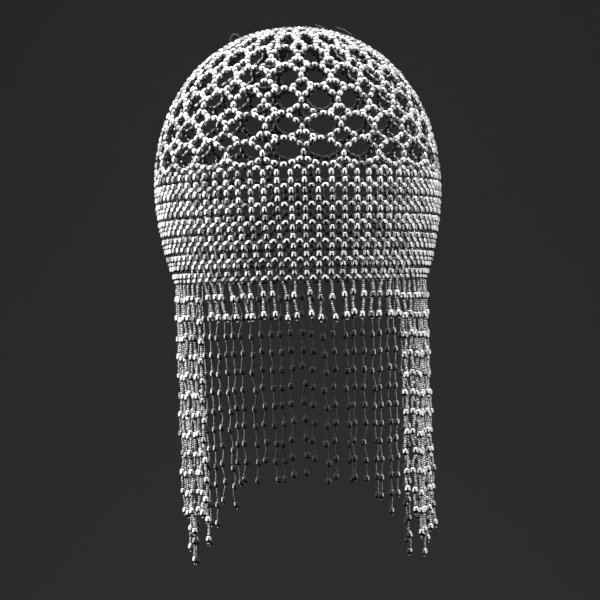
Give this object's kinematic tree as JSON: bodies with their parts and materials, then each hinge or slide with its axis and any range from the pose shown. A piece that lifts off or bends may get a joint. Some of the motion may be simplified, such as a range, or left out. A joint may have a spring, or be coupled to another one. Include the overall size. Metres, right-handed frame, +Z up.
{
  "type": "beaded net cap headpiece with fringe",
  "caption": "Close-fitting cap of silver beads: diamond net crown, ladder band, short forehead fringe and long hanging fringe at the sides and back.",
  "frame": {"origin": "inside top of the crown, where the cap sits on the wearer's head", "axes": "+Z up, forehead side at -Y, wearer's left at +X"},
  "size_m": [0.1642, 0.1951, 0.3089],
  "materials": {
    "net_beads": "mirror-silver metallised beads on clear thread",
    "band_beads": "mirror-silver metallised beads on clear thread",
    "fringe_beads": "mirror-silver beads and small silver-lined seed beads on clear thread"
  },
  "bodies": {
    "root": {"crown_net": "net_beads", "band": "band_beads", "forehead_fringe": "fringe_beads", "left_fringe": "fringe_beads", "right_fringe": "fringe_beads", "back_fringe": "fringe_beads"}
  },
  "joints": []
}
